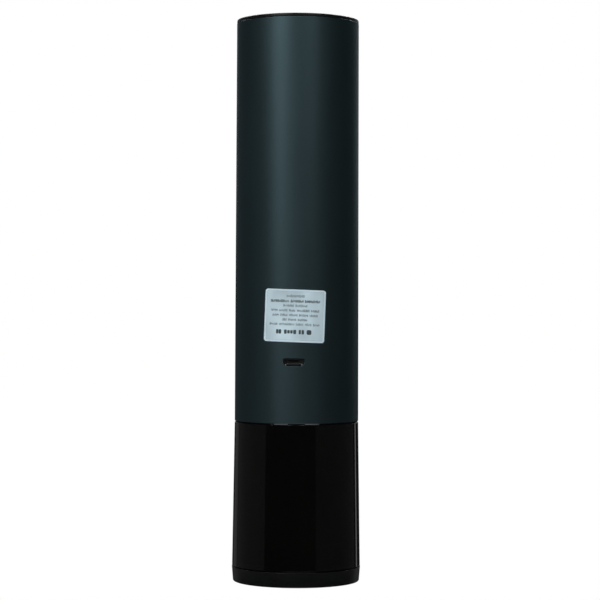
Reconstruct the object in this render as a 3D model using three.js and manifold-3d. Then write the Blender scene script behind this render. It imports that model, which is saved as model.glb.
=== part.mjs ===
// Electric wine opener: a slim cordless cylinder that stands on its foil cutter.
// Millimetres, +Z up, origin at the centre of the base. -Y is the back (label and charging port),
// +Y is the front (rocker switch and status light).
import * as THREE from "three";
import { mergeVertices } from "three/addons/utils/BufferGeometryUtils.js";
import Module from "manifold-3d";

const wasm = await Module();
wasm.setup();

const opener = new THREE.Group();

// ---------------------------------------------------------------- driving dimensions

const GAP = 0.3;                        // between neighbouring pieces
const HEIGHT = 213;                     // whole object
const CUTTER_TOP = 5.6;                 // foil cutter's visible height
const SLEEVE_TOP = 60.7;                // seam between smoked sleeve and outer tube
const CAP_RIM = 1;                      // visible height of the top cap
const TUBE_TOP = HEIGHT - CAP_RIM - GAP;
const BASE_RADIUS = 24.4;               // foil cutter, the widest place
const SLEEVE_RADIUS = { bottom: 24.3, top: 23.5 };
const TUBE_RADIUS = { bottom: 23.5, top: 23.2 };
const TUBE_BORE = 21.8;
const SLEEVE_BORE = 22.1;

const CHASSIS = { outer: 21.4, inner: 19.6, bottom: 66.5, top: 208 };

const NECK_RADIUS = 15.5;               // bottle neck socket and the hole of the foil cutter
const CORK_RADIUS = 12.5;               // cork chamber
const NECK_STOP = 22;                   // where the bottle's lip stops

const WORM = { radius: 4.5, wire: 1.4, pitch: 9, tip: 26, top: 99 };
const WORM_TURNS = 4;                   // turns of the carriage along its track

const GEAR = { module: 0.7, sun: 12, planet: 12, ring: 36, width: 4.8 };
const PLANET_ORBIT = (GEAR.module * (GEAR.sun + GEAR.planet)) / 2;
const STAGE_HEIGHT = 7.1;
const CARRIER_THICK = 1.6;
const FIRST_CARRIER = 124.6;            // underside of the first carrier
const OUTPUT_CARRIER = FIRST_CARRIER - 2 * STAGE_HEIGHT;

// The gear train's housing, the motor's plate on it, and the ears and screws that hold both.
const HOUSING = {
  outer: 15.6, throat: 13.6,
  bottom: OUTPUT_CARRIER - 1.2, teeth: OUTPUT_CARRIER + 1.8, top: FIRST_CARRIER + 7,
};
const PLATE = { bottom: HOUSING.top + GAP, top: HOUSING.top + GAP + 1.2 };
const EAR = { x: 17.5, radius: 1.8, hole: 1.2 };
const SCREW = { shank: 0.85, head: 1.5, bottom: HOUSING.bottom - 4.7, rise: 1.7, top: PLATE.top + 0.8 };

const MOTOR = { radius: 12.2, bottom: PLATE.top + GAP, top: 160, boss: 3 };
const BATTERY = { radius: 7, bottom: 167.2, length: 43 };

// Circuit boards: half width, near and far face along Y, lower and upper edge.
const CHARGE_BOARD = { half: 7, from: -17.9, to: -16.7, bottom: 72, top: 98 };
const MAIN_BOARD = { half: 9, from: 15, to: 16.4, bottom: 135, top: 200 };

const PORT = { x: -1.05, z: 83.5, top: 7.9, bottom: 6.1, height: 2.9 };
const ROCKER = { z: 150, width: 10, length: 26, face: 23.8 };
const LIGHT = { z: 172, radius: 1, face: 23.4 };
const LABEL = {
  z: 100.7, centre: -0.7, chord: 22.4, height: 19.5, corner: 1, tilt: 2, inner: 23.55, outer: 23.75,
};

// ---------------------------------------------------------------- materials

const paint = (color, roughness, metalness) => () =>
  new THREE.MeshStandardMaterial({ color, roughness, metalness });

const gunmetal = paint(0x33444b, 0.38, 0.6);
const smoked = paint(0x0b0b0c, 0.08, 0);
const satinBlack = paint(0x141717, 0.4, 0);
const blackPlastic = paint(0x1c1d1f, 0.55, 0);
const greyPlastic = paint(0x5b5f63, 0.6, 0);
const whitePlastic = paint(0xd8d8d2, 0.5, 0);
const silverFilm = paint(0xc4ced2, 0.45, 0.1);
const steel = paint(0xb9bcc0, 0.25, 1);
const darkSteel = paint(0x6a6d70, 0.4, 1);
const nickel = paint(0xc9c5b8, 0.3, 1);
const bronze = paint(0x9a6b35, 0.4, 1);
const ferrite = paint(0x2b2b2e, 0.7, 0);
const boardGreen = paint(0x14532d, 0.5, 0);
const cellWrap = paint(0x2a6fa8, 0.4, 0);
const nylon = paint(0xe6e1d2, 0.5, 0);

// ---------------------------------------------------------------- solids

function signedVolume(points, index) {
  const a = new THREE.Vector3();
  const b = new THREE.Vector3();
  const c = new THREE.Vector3();
  let volume = 0;
  for (let i = 0; i < index.length; i += 3) {
    a.fromArray(points, 3 * index[i]);
    b.fromArray(points, 3 * index[i + 1]);
    c.fromArray(points, 3 * index[i + 2]);
    volume += a.dot(b.cross(c)) / 6;
  }
  return volume;
}

// Welds a closed geometry, drops its empty triangles, turns its faces outwards and makes a solid.
function solid(geometry) {
  geometry.deleteAttribute("normal");
  geometry.deleteAttribute("uv");
  const welded = mergeVertices(geometry, 1e-4);
  const points = welded.attributes.position.array;
  const triangles = [];
  const index = welded.index.array;
  for (let i = 0; i < index.length; i += 3) {
    const [a, b, c] = [index[i], index[i + 1], index[i + 2]];
    if (a !== b && b !== c && c !== a) triangles.push(a, b, c);
  }
  if (signedVolume(points, triangles) < 0) triangles.reverse();
  const mesh = new wasm.Mesh({
    numProp: 3,
    vertProperties: new Float32Array(points),
    triVerts: new Uint32Array(triangles),
  });
  return new wasm.Manifold(mesh);
}

function geometryOf(body) {
  const mesh = body.getMesh();
  const geometry = new THREE.BufferGeometry();
  geometry.setAttribute("position", new THREE.BufferAttribute(mesh.vertProperties, 3));
  geometry.setIndex(new THREE.BufferAttribute(mesh.triVerts, 1));
  return geometry;
}

function add(name, body, material) {
  const mesh = new THREE.Mesh(geometryOf(body), material());
  mesh.name = name;
  opener.add(mesh);
  return mesh;
}

// A body of revolution about Z from [radius, z] points.
function turned(profile, segments = 32) {
  const points = profile.map(([radius, z]) => new THREE.Vector2(radius, z));
  const closes = profile[0][0] > 0;
  if (closes) points.push(points[0].clone());
  return solid(new THREE.LatheGeometry(points, segments).rotateX(Math.PI / 2));
}

function ring(inner, outer, bottom, top, segments = 32) {
  return turned([[inner, bottom], [outer, bottom], [outer, top], [inner, top]], segments);
}

function disc(radius, bottom, top, segments = 32) {
  return turned([[0, bottom], [radius, bottom], [radius, top], [0, top]], segments);
}

function outline(points) {
  return new THREE.Shape(points.map(([x, y]) => new THREE.Vector2(x, y)));
}

// An outline drawn in X and Y, between two heights.
function upright(shape, bottom, top, curveSegments = 8) {
  const options = { depth: top - bottom, bevelEnabled: false, curveSegments };
  return solid(new THREE.ExtrudeGeometry(shape, options).translate(0, 0, bottom));
}

// An outline drawn in X and Z, between two places along Y.
function across(shape, from, to, curveSegments = 8) {
  const options = { depth: to - from, bevelEnabled: false, curveSegments };
  const geometry = new THREE.ExtrudeGeometry(shape, options).translate(0, 0, -to);
  return solid(geometry.rotateX(Math.PI / 2));
}

function box(x0, x1, y0, y1, z0, z1) {
  const geometry = new THREE.BoxGeometry(x1 - x0, y1 - y0, z1 - z0);
  return solid(geometry.translate((x0 + x1) / 2, (y0 + y1) / 2, (z0 + z1) / 2));
}

// A round rod along "x" or "y", between two places on that axis.
function rod(axis, radius, from, to, centre, segments = 16) {
  const geometry = new THREE.CylinderGeometry(radius, radius, to - from, segments);
  if (axis === "x") geometry.rotateZ(Math.PI / 2).translate((from + to) / 2, centre[0], centre[1]);
  if (axis === "y") geometry.translate(centre[0], (from + to) / 2, centre[1]);
  return solid(geometry);
}

function post(radius, x, y, bottom, top, segments = 12) {
  const geometry = new THREE.CylinderGeometry(radius, radius, top - bottom, segments);
  return solid(geometry.rotateX(Math.PI / 2).translate(x, y, (bottom + top) / 2));
}

const joined = (...bodies) => bodies.reduce((whole, body) => whole.add(body));
const cut = (body, ...tools) => tools.reduce((rest, tool) => rest.subtract(tool), body);

function onCircle(radius, degrees) {
  const angle = THREE.MathUtils.degToRad(degrees);
  return [radius * Math.cos(angle), radius * Math.sin(angle)];
}

// A flat ring sector between two radii and two angles.
function sector(inner, outer, from, to, bottom, top, segments = 6) {
  const shape = new THREE.Shape();
  const [start, end] = [from, to].map(THREE.MathUtils.degToRad);
  shape.absarc(0, 0, outer, start, end, false);
  shape.absarc(0, 0, inner, end, start, true);
  return upright(shape, bottom, top, segments);
}

function pill(width, length, z) {
  const radius = width / 2;
  const reach = length / 2 - radius;
  const shape = new THREE.Shape();
  shape.absarc(0, z + reach, radius, 0, Math.PI, false);
  shape.absarc(0, z - reach, radius, Math.PI, 2 * Math.PI, false);
  return shape;
}

// ---------------------------------------------------------------- gears

// Shares of the module, except the flank, which is a slope.
const TOOTH = { addendum: 0.75, dedendum: 1.05, flank: 0.4, thinning: 0.36 };

// Outline of a gear. A tooth stands at the first angle; an inner gear's teeth point to its centre.
function gearOutline(teeth, firstAngle, inner = false) {
  const pitchRadius = (GEAR.module * teeth) / 2;
  const halfTooth = (Math.PI * GEAR.module) / 4 - TOOTH.thinning / 2;
  const outwards = inner ? -1 : 1;
  const heights = [-TOOTH.dedendum, TOOTH.addendum].map((height) => height * GEAR.module);
  const points = [];
  for (let tooth = 0; tooth < teeth; tooth += 1) {
    const middle = firstAngle + (tooth * 2 * Math.PI) / teeth;
    const flank = heights.map((height) => {
      const radius = pitchRadius + outwards * height;
      return { radius, half: (halfTooth - height * TOOTH.flank) / radius };
    });
    const rising = flank.map(({ radius, half }) => [radius, middle - half]);
    const falling = flank.map(({ radius, half }) => [radius, middle + half]).reverse();
    for (const [radius, angle] of [...rising, ...falling]) {
      points.push([radius * Math.cos(angle), radius * Math.sin(angle)]);
    }
  }
  return outline(points);
}

function bored(shape, radius) {
  const hole = new THREE.Path();
  hole.absarc(0, 0, radius, 0, 2 * Math.PI, true);
  shape.holes.push(hole);
  return shape;
}

// ---------------------------------------------------------------- casing

const DRIVE = { outer: 11, inner: 9, bottom: 61.5, top: OUTPUT_CARRIER - GAP, slot: 5 };
const PIN = { radius: 1.5, inner: 5.2, outer: 13.9, lower: WORM.top + 2.75 };
const UPPER_PIN = PIN.lower + WORM.pitch / 2;      // half a turn further along the track
const WALL = { near: 15, far: 30 };     // cutters for holes in the casing reach from near to far

function portOutline(extra) {
  const [top, bottom] = [PORT.top / 2 + extra, PORT.bottom / 2 + extra];
  const [high, low] = [PORT.z + PORT.height / 2 + extra, PORT.z - PORT.height / 2 - extra];
  const shoulder = PORT.z;
  const corners = [
    [-bottom, low], [bottom, low], [top, shoulder], [top, high], [-top, high], [-top, shoulder],
  ];
  return outline(corners.map(([x, z]) => [PORT.x + x, z]));
}

function rockerOpening(clearance) {
  const shape = pill(ROCKER.width + 2 * clearance, ROCKER.length + 2 * clearance, ROCKER.z);
  return across(shape, WALL.near, WALL.far);
}

function lightHole() {
  return rod("y", LIGHT.radius + GAP, WALL.near, WALL.far, [0, LIGHT.z]);
}

function outerTube() {
  const edge = 0.2;
  const { bottom, top } = TUBE_RADIUS;
  const skin = turned([
    [TUBE_BORE, SLEEVE_TOP], [bottom, SLEEVE_TOP], [top, TUBE_TOP - edge], [top - edge, TUBE_TOP],
    [TUBE_BORE, TUBE_TOP],
  ], 48);
  const port = across(portOutline(0), -WALL.far, -WALL.near);
  return cut(skin, port, rockerOpening(0.35), lightHole());
}

// A lid with a rounded rim over the tube's end and a skirt inside it.
function topCap() {
  const plug = TUBE_BORE - GAP;
  const [skirt, skirtLow] = [1.4, 208.5];
  const plate = 2;
  const rim = TUBE_RADIUS.top - 0.05;
  const edge = 0.4;
  const rounding = [0, 30, 60, 90].map((degrees) => {
    const [x, z] = onCircle(edge, degrees);
    return [rim - edge + x, HEIGHT - edge + z];
  });
  return turned([
    [0, HEIGHT - plate], [plug - skirt, HEIGHT - plate], [plug - skirt, skirtLow], [plug, skirtLow],
    [plug, HEIGHT - CAP_RIM], [rim, HEIGHT - CAP_RIM], ...rounding, [0, HEIGHT],
  ], 48);
}

function backLabel() {
  const sheet = ring(LABEL.inner, LABEL.outer, LABEL.z - LABEL.height, LABEL.z + LABEL.height, 72);
  const flat = new THREE.Shape();
  const [x, y] = [LABEL.chord / 2 - LABEL.corner, LABEL.height / 2 - LABEL.corner];
  const quarter = Math.PI / 2;
  [[x, y], [-x, y], [-x, -y], [x, -y]].forEach(([cornerX, cornerY], index) => {
    flat.absarc(cornerX, cornerY, LABEL.corner, index * quarter, (index + 1) * quarter, false);
  });
  const options = { depth: WALL.near, bevelEnabled: false, curveSegments: 2 };
  const cutter = new THREE.ExtrudeGeometry(flat, options);
  cutter.rotateZ(THREE.MathUtils.degToRad(-LABEL.tilt));
  cutter.rotateX(Math.PI / 2).translate(LABEL.centre, -WALL.near, LABEL.z);
  return sheet.intersect(solid(cutter));
}

function smokedSleeve() {
  const [bottom, top] = [CUTTER_TOP + GAP, SLEEVE_TOP - GAP];
  const shell = turned([
    [SLEEVE_BORE, bottom], [SLEEVE_RADIUS.bottom, bottom], [SLEEVE_RADIUS.top, top], [SLEEVE_BORE, top],
  ], 48);
  const notches = [-1, 1].map((side) => tabBox(side, GAP, top + 1));
  return cut(shell, ...notches);
}

const TAB = { x: 5.8, width: 5.3, bottom: SLEEVE_TOP - 0.7, top: SLEEVE_TOP - 0.05 };

function tabBox(side, extra, top) {
  const [from, to] = [side * TAB.x - TAB.width / 2 - extra, side * TAB.x + TAB.width / 2 + extra];
  return box(from, to, -25, -19, TAB.bottom - extra, top);
}

const COLLAR = { inner: 19.8, outer: 21.5, bottom: 54, top: CHASSIS.bottom - GAP, root: 20.6 };

function collarRing() {
  const { inner, outer, bottom, top, root } = COLLAR;
  const body = ring(inner, outer, bottom, top, 48);
  const reach = disc(SLEEVE_RADIUS.top - 0.05, bottom, top, 48);
  const hollow = disc(root, bottom - 1, top + 1, 48);
  const tabs = [-1, 1].map((side) => cut(tabBox(side, 0, TAB.top).intersect(reach), hollow));
  return joined(body, ...tabs);
}

function corkGuide() {
  const wall = 2;
  const flange = COLLAR.inner - 0.4;
  const [mouth, top] = [CUTTER_TOP + 1, 58];
  const cup = turned([
    [NECK_RADIUS + 1, mouth], [NECK_RADIUS + wall, mouth], [NECK_RADIUS + wall, NECK_STOP + 2],
    [CORK_RADIUS + wall, NECK_STOP + 4], [CORK_RADIUS + wall, top - 2], [flange, top - 2],
    [flange, top], [CORK_RADIUS, top], [CORK_RADIUS, NECK_STOP], [NECK_RADIUS, NECK_STOP],
    [NECK_RADIUS, mouth + 1.5],
  ], 32);
  const rib = box(CORK_RADIUS - 0.9, CORK_RADIUS + 1, -0.6, 0.6, NECK_STOP + 3, top - 2);
  const ribs = [45, 135, 225, 315].map((degrees) => rib.rotate([0, 0, degrees]));
  return joined(cup, ...ribs);
}

const RIBS = [
  { bottom: 100, top: 101.6, inner: 16.2 },
  { bottom: 136, top: 137.6, inner: MOTOR.radius + GAP },
  { bottom: 157, top: 158.6, inner: MOTOR.radius + GAP },
  { bottom: 165.1, top: 166.7, inner: 3 },
  { bottom: 200, top: 201.6, inner: BATTERY.radius + GAP },
];

// One half of the chassis: +1 is the front half (switch side), -1 the back half (port side).
function chassisHalf(side) {
  const middle = 90 * side;
  const reach = 89;
  const half = (inner, outer, bottom, top) =>
    sector(inner, outer, middle - reach, middle + reach, bottom, top, 8);
  const shell = half(CHASSIS.inner, CHASSIS.outer, CHASSIS.bottom, CHASSIS.top);
  const ribs = RIBS.map(({ bottom, top, inner }) => half(inner, CHASSIS.inner + 0.4, bottom, top));
  return joined(shell, ...ribs);
}

function chassisFront() {
  const { half, from, to, bottom, top } = MAIN_BOARD;
  const slot = box(-half - 0.4, half + 0.4, from - 0.4, to + 1.6, bottom - 1, top + 4);
  return cut(chassisHalf(1), rockerOpening(0.7), lightHole(), slot);
}

function chassisBack() {
  return cut(chassisHalf(-1), across(portOutline(0.4), -WALL.far, -WALL.near));
}

add("outer_tube", outerTube(), gunmetal);
add("top_cap", topCap(), satinBlack);
add("back_label", backLabel(), silverFilm);
add("smoked_sleeve", smokedSleeve(), smoked);
add("collar_ring", collarRing(), greyPlastic);
add("cork_guide", corkGuide(), blackPlastic);
add("chassis_front", chassisFront(), blackPlastic);
add("chassis_back", chassisBack(), blackPlastic);

// ---------------------------------------------------------------- charging port and boards

const SOCKET = { mouth: -21.9, back: -18.2, clearance: 0.25, wall: 0.3, floor: 0.4 };
const TONGUE = { half: 1.9, bottom: PORT.z + 0.05, top: PORT.z + 0.65 };
const SWITCH = { half: 2.3, body: 1.6, plunger: 1, tip: 19.3, spread: 8.5 };

function usbShell() {
  const { mouth, back, clearance, wall, floor } = SOCKET;
  const pocket = across(portOutline(-clearance - wall), mouth - 1, back - floor);
  return cut(across(portOutline(-clearance), mouth, back), pocket);
}

function usbTongue() {
  const [left, right] = [PORT.x - TONGUE.half, PORT.x + TONGUE.half];
  const [nose, root] = [SOCKET.mouth + 0.6, SOCKET.back - SOCKET.floor - GAP];
  return box(left, right, nose, root, TONGUE.bottom, TONGUE.top);
}

function board({ half, from, to, bottom, top }) {
  return box(-half, half, from, to, bottom, top);
}

function tactSwitch(z) {
  const { half, body, plunger, tip } = SWITCH;
  const foot = MAIN_BOARD.to + GAP;
  return joined(
    box(-half, half, foot, foot + body, z - half, z + half),
    rod("y", plunger, foot + 1, tip, [0, z], 12),
  );
}

function statusLight() {
  return rod("y", LIGHT.radius, MAIN_BOARD.to + GAP, LIGHT.face, [0, LIGHT.z]);
}

add("usb_shell", usbShell(), darkSteel);
add("usb_tongue", usbTongue(), satinBlack);
add("charge_board", board(CHARGE_BOARD), boardGreen);
add("main_board", board(MAIN_BOARD), boardGreen);
add("up_switch", tactSwitch(ROCKER.z + SWITCH.spread), nickel);
add("down_switch", tactSwitch(ROCKER.z - SWITCH.spread), nickel);
add("status_light", statusLight(), whitePlastic);

// ---------------------------------------------------------------- battery

function batteryCell() {
  const { radius, bottom, length } = BATTERY;
  const top = bottom + length;
  return turned([
    [0, bottom], [radius - 0.4, bottom], [radius, bottom + 0.4], [radius, top - 1.6],
    [radius - 0.6, top - 1], [2.4, top - 1], [2.4, top], [0, top],
  ], 24);
}

function batteryStrip() {
  const foot = BATTERY.bottom + BATTERY.length + 0.1;
  return box(-2, 2, -2, 12, foot, foot + 0.25);
}

add("battery_cell", batteryCell(), cellWrap);
add("battery_strip", batteryStrip(), nickel);

// ---------------------------------------------------------------- rocker switch

const PIVOT = { y: 20.9, radius: 0.8, half: 5.3 };
const ROCKER_BACK = 21.6;               // back of the rocker's pill-shaped face

function rockerButton() {
  const face = across(pill(ROCKER.width, ROCKER.length, ROCKER.z), ROCKER_BACK, WALL.far, 10);
  const curve = disc(ROCKER.face, ROCKER.z - ROCKER.length, ROCKER.z + ROCKER.length, 96);
  const root = ROCKER_BACK + 0.4;
  const feet = [-SWITCH.spread, SWITCH.spread].map((z) =>
    rod("y", 1.2, SWITCH.tip + 0.6, root, [0, ROCKER.z + z], 12));
  const lug = box(-3, 3, 19.2, root, ROCKER.z - 1.9, ROCKER.z + 1.9);
  const bore = rod("x", PIVOT.radius + GAP, -8, 8, [PIVOT.y, ROCKER.z]);
  return cut(joined(face.intersect(curve), lug, ...feet), bore);
}

function rockerPin() {
  return rod("x", PIVOT.radius, -PIVOT.half, PIVOT.half, [PIVOT.y, ROCKER.z]);
}

add("rocker_button", rockerButton(), satinBlack);
add("rocker_pin", rockerPin(), darkSteel);

// ---------------------------------------------------------------- motor

const SHAFT = 1.15;
const PRESS = 0.15;                     // clearance of a piece that is fixed on the shaft

function motorCan() {
  const { radius, bottom, top, boss } = MOTOR;
  const bore = SHAFT + GAP;
  return turned([
    [bore, bottom - 1.2], [boss, bottom - 1.2], [boss, bottom], [radius, bottom],
    [radius, top], [radius - 0.9, top], [radius - 0.9, bottom + 1.2], [bore, bottom + 1.2],
  ], 24);
}

function motorEndCap() {
  const [bottom, top] = [MOTOR.top + GAP, MOTOR.top + 3.4];
  const plate = ring(SHAFT + GAP, MOTOR.radius, bottom, top, 24);
  const terminals = [-8, 8].map((x) => box(x - 0.9, x + 0.9, -0.25, 0.25, top - 1, top + 1.1));
  return joined(plate, ...terminals);
}

function magnet(middle) {
  return sector(10.1, 11, middle - 62, middle + 62, MOTOR.bottom + 3, MOTOR.top - 3, 5);
}

// The armature's three-pole core with the commutator above it.
function armature() {
  const [bottom, top] = [MOTOR.bottom + 5, MOTOR.top - 5];
  const core = ring(SHAFT + PRESS, 4.4, bottom, top, 12);
  const pole = joined(
    box(3.6, 8.8, -1.1, 1.1, bottom, top),
    sector(8, 9.7, -50, 50, bottom, top, 4),
  );
  const poles = [0, 120, 240].map((degrees) => pole.rotate([0, 0, degrees]));
  const commutator = ring(SHAFT + PRESS, 3, top - 1, MOTOR.top - 0.5, 12);
  return joined(core, ...poles, commutator);
}

function motorShaft() {
  return post(SHAFT, 0, 0, FIRST_CARRIER + 2.2, MOTOR.top + 4.2, 16);
}

function ears(bottom, top) {
  const [from, to] = [HOUSING.outer - 1.6, HOUSING.outer + 1.6];
  const ear = joined(
    post(EAR.radius, EAR.x, 0, bottom, top, 16),
    box(from, to, -EAR.radius, EAR.radius, bottom, top),
  );
  return [ear, ear.mirror([1, 0, 0])];
}

function earHoles() {
  return [-EAR.x, EAR.x].map((x) => post(EAR.hole, x, 0, SCREW.bottom - 1, SCREW.top + 1));
}

function motorPlate() {
  const { bottom, top } = PLATE;
  const plate = joined(disc(HOUSING.outer, bottom, top, 24), ...ears(bottom, top));
  return cut(plate, disc(MOTOR.boss + GAP, bottom - 1, top + 1, 20), ...earHoles());
}

add("motor_can", motorCan(), steel);
add("motor_end_cap", motorEndCap(), blackPlastic);
add("magnet_left", magnet(180), ferrite);
add("magnet_right", magnet(0), ferrite);
add("armature", armature(), darkSteel);
add("motor_shaft", motorShaft(), steel);
add("motor_plate", motorPlate(), steel);

// ---------------------------------------------------------------- gearbox

function gearboxHousing() {
  const blank = disc(HOUSING.outer, HOUSING.teeth, HOUSING.top, 36);
  const teeth = upright(gearOutline(GEAR.ring, 0, true), HOUSING.teeth - 1, HOUSING.top + 1);
  const skirt = ring(HOUSING.throat, HOUSING.outer, HOUSING.bottom, HOUSING.teeth, 36);
  const eared = joined(cut(blank, teeth), skirt, ...ears(HOUSING.bottom, HOUSING.bottom + 2.2));
  const throat = disc(HOUSING.throat, HOUSING.bottom - 1, HOUSING.teeth - 0.5, 36);
  return cut(eared, throat, ...earHoles());
}

// Sun gear of one stage; the planets of a stage lie GAP above its carrier.
function sunGear(bottom, top, bore) {
  const shape = gearOutline(GEAR.sun, 0);
  return upright(bore ? bored(shape, bore) : shape, bottom, top, 4);
}

function planetPlace(index) {
  return onCircle(PLANET_ORBIT, 120 * index);
}

function carrier(bottom) {
  const plate = disc(11.2, bottom, bottom + CARRIER_THICK, 24);
  const pins = [0, 1, 2].map((index) => {
    const [x, y] = planetPlace(index);
    return post(1.2, x, y, bottom + 0.5, bottom + STAGE_HEIGHT - 0.6, 10);
  });
  return joined(plate, ...pins);
}

// A carrier with the next stage's sun gear under it.
function sunCarrier(bottom) {
  const sun = sunGear(bottom - STAGE_HEIGHT + CARRIER_THICK + GAP, bottom + 0.5);
  return joined(carrier(bottom), sun);
}

function planetGear(carrierBottom, index) {
  const bottom = carrierBottom + CARRIER_THICK + GAP;
  const shape = bored(gearOutline(GEAR.planet, Math.PI / GEAR.planet), 1.5);
  const [x, y] = planetPlace(index);
  const gear = upright(shape, bottom, bottom + GEAR.width, 3);
  return gear.rotate([0, 0, 120 * index]).translate([x, y, 0]);
}

function outputBush() {
  return ring(DRIVE.outer + 0.35, HOUSING.throat - GAP, HOUSING.bottom, HOUSING.teeth - 0.4, 24);
}

function gearboxScrew(side) {
  const x = side * EAR.x;
  const { shank, head, bottom, rise, top } = SCREW;
  return joined(post(head, x, 0, bottom, bottom + rise, 12), post(shank, x, 0, bottom + 1, top, 12));
}

function motorPinion() {
  return sunGear(FIRST_CARRIER + CARRIER_THICK + GAP, PLATE.bottom - 0.4, SHAFT + PRESS);
}

const stages = [
  { prefix: "first", bottom: FIRST_CARRIER },
  { prefix: "second", bottom: FIRST_CARRIER - STAGE_HEIGHT },
  { prefix: "third", bottom: OUTPUT_CARRIER },
];

add("gearbox_housing", gearboxHousing(), greyPlastic);
add("output_bush", outputBush(), bronze);
add("motor_pinion", motorPinion(), bronze);
add("first_carrier", sunCarrier(stages[0].bottom), steel);
add("second_carrier", sunCarrier(stages[1].bottom), steel);
add("output_carrier", carrier(stages[2].bottom), steel);
for (const { prefix, bottom } of stages) {
  for (const index of [0, 1, 2]) {
    add(`${prefix}_planet_${index + 1}`, planetGear(bottom, index), nylon);
  }
}
add("gearbox_screw_left", gearboxScrew(-1), steel);
add("gearbox_screw_right", gearboxScrew(1), steel);

// ---------------------------------------------------------------- drive tube, track and worm

function driveTube() {
  const tube = ring(DRIVE.inner, DRIVE.outer, DRIVE.bottom, DRIVE.top, 32);
  const [from, to] = [DRIVE.bottom + 2.1, DRIVE.top - 1.8];
  const slot = box(-15, 15, -DRIVE.slot / 2, DRIVE.slot / 2, from, to);
  return cut(tube, slot);
}

// A square-sectioned helix about Z, right-handed like the worm, from one angle to another in turns.
function helixBand(inner, outer, height, zAtZero, fromTurn, toTurn, stepsPerTurn) {
  const steps = Math.ceil((toTurn - fromTurn) * stepsPerTurn);
  const points = [];
  for (let i = 0; i <= steps; i += 1) {
    const turn = fromTurn + ((toTurn - fromTurn) * i) / steps;
    const z = zAtZero + WORM.pitch * turn;
    for (const [radius, side] of [[inner, -1], [outer, -1], [outer, 1], [inner, 1]]) {
      const [x, y] = onCircle(radius, 360 * turn);
      points.push(x, y, z + (side * height) / 2);
    }
  }
  const index = [0, 2, 1, 0, 3, 2];
  for (let i = 0; i < steps; i += 1) {
    for (let corner = 0; corner < 4; corner += 1) {
      const a = 4 * i + corner;
      const b = 4 * i + ((corner + 1) % 4);
      index.push(a, b, b + 4, a, b + 4, a + 4);
    }
  }
  const last = 4 * steps;
  index.push(last, last + 1, last + 2, last, last + 2, last + 3);
  const geometry = new THREE.BufferGeometry();
  geometry.setAttribute("position", new THREE.Float32BufferAttribute(points, 3));
  geometry.setIndex(index);
  return solid(geometry);
}

const TRACK = { inner: DRIVE.outer + 0.4, outer: 15.8, bottom: DRIVE.bottom + 1, groove: PIN.outer + 0.4 };

function trackSleeve() {
  const { inner, outer, bottom } = TRACK;
  const top = HOUSING.bottom - GAP;
  const sleeve = ring(inner, outer, bottom, top, 20);
  const width = 2 * PIN.radius + 1;
  const groove = helixBand(inner - 1.4, TRACK.groove, width, PIN.lower, -WORM_TURNS - 0.05, 0.55, 20);
  const bore = disc(inner, bottom - 1, top + 1, 20);
  const eared = cut(joined(sleeve, ...ears(top - 2.2, top)), bore);
  return cut(eared, groove, ...earHoles());
}

function wormBlock() {
  const [bottom, top] = [WORM.top, WORM.top + 10];
  const block = disc(DRIVE.inner - GAP, bottom, top, 28);
  const lowerHole = rod("x", PIN.radius + 0.1, 5, 12, [0, PIN.lower]);
  const upperHole = rod("x", PIN.radius + 0.1, -12, -5, [0, UPPER_PIN]);
  const socket = post(1.9, WORM.radius - WORM.wire, 0, bottom - 1, bottom + 3);
  return cut(block, lowerHole, upperHole, socket);
}

function followerPin(from, to, z) {
  return rod("x", PIN.radius, from, to, [0, z]);
}

class Helix extends THREE.Curve {
  getPoint(t, target = new THREE.Vector3()) {
    const rise = (WORM.top - GAP - WORM.wire - WORM.tip) * t;
    const angle = (2 * Math.PI * rise) / WORM.pitch;
    const radius = (WORM.radius - WORM.wire) * Math.min(1, 0.25 + 6 * t);
    return target.set(radius * Math.cos(angle), radius * Math.sin(angle), WORM.tip + rise);
  }
}

function worm() {
  const shape = new THREE.Shape();
  shape.absarc(0, 0, WORM.wire, 0, 2 * Math.PI, false);
  const turns = (WORM.top - WORM.tip) / WORM.pitch;
  const options = { steps: Math.round(turns * 11), extrudePath: new Helix(), curveSegments: 4 };
  return solid(new THREE.ExtrudeGeometry(shape, options));
}

add("drive_tube", driveTube(), steel);
add("track_sleeve", trackSleeve(), nylon);
add("worm_block", wormBlock(), darkSteel);
add("worm", worm(), steel);
add("follower_pin_lower", followerPin(PIN.inner, PIN.outer, PIN.lower), steel);
add("follower_pin_upper", followerPin(-PIN.outer, -PIN.inner, UPPER_PIN), steel);

// ---------------------------------------------------------------- foil cutter

const CUTTER = { wall: 22.5, floor: 1.2, coverBottom: 4.2, coverTop: 5.4 };
const SPIGOT = { outer: 21.4, inner: 18.6, top: 12.6 };
const JAW = { inner: 15.9, outer: 20.2, reach: 48, bottom: 1.5, top: 2.5 };
const WHEEL = { radius: 3.8, orbit: 16.9, angle: 25, bottom: 2.8, top: 3.3 };

function cutterBase() {
  const edge = 0.5;
  const foot = BASE_RADIUS - 0.45;      // the side leans in towards the foot
  const rounding = [270, 315, 360].map((degrees) => {
    const [x, z] = onCircle(edge, degrees);
    return [foot - edge + x, edge + z];
  });
  return turned([
    [NECK_RADIUS, 0.6], [NECK_RADIUS + 0.6, 0], ...rounding, [BASE_RADIUS, CUTTER_TOP - 0.3],
    [BASE_RADIUS - 0.3, CUTTER_TOP], [CUTTER.wall, CUTTER_TOP], [CUTTER.wall, CUTTER.floor],
    [NECK_RADIUS, CUTTER.floor],
  ], 48);
}

function cutterCover() {
  const { wall, coverBottom, coverTop } = CUTTER;
  const { outer, inner, top } = SPIGOT;
  return turned([
    [NECK_RADIUS, coverBottom], [wall - GAP, coverBottom], [wall - GAP, coverTop], [outer, coverTop],
    [outer, top - 0.5], [outer - 0.5, top], [inner, top], [inner, coverTop], [NECK_RADIUS, coverTop],
  ], 36);
}

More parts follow.
